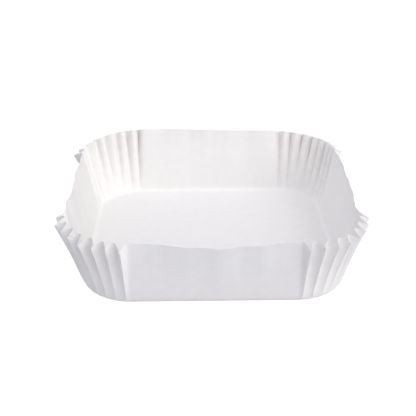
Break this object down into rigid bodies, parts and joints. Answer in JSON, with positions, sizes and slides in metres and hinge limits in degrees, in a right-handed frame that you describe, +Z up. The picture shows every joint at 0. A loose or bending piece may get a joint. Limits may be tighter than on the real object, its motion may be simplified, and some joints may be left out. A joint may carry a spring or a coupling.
{
  "type": "air fryer paper liner",
  "caption": "Square greaseproof paper tray with a flat floor, a soft heel, plain leaning sides and rounded pleated corners, to line an air fryer basket.",
  "frame": {"origin": "middle of the floor's underside", "axes": "+Z up out of the open top; +X and +Y square to the plain sides"},
  "size_m": [0.2018, 0.2018, 0.047],
  "materials": {
    "paper": "matt greaseproof paper, slightly translucent"
  },
  "bodies": {
    "root": {"liner": "paper"}
  },
  "joints": []
}
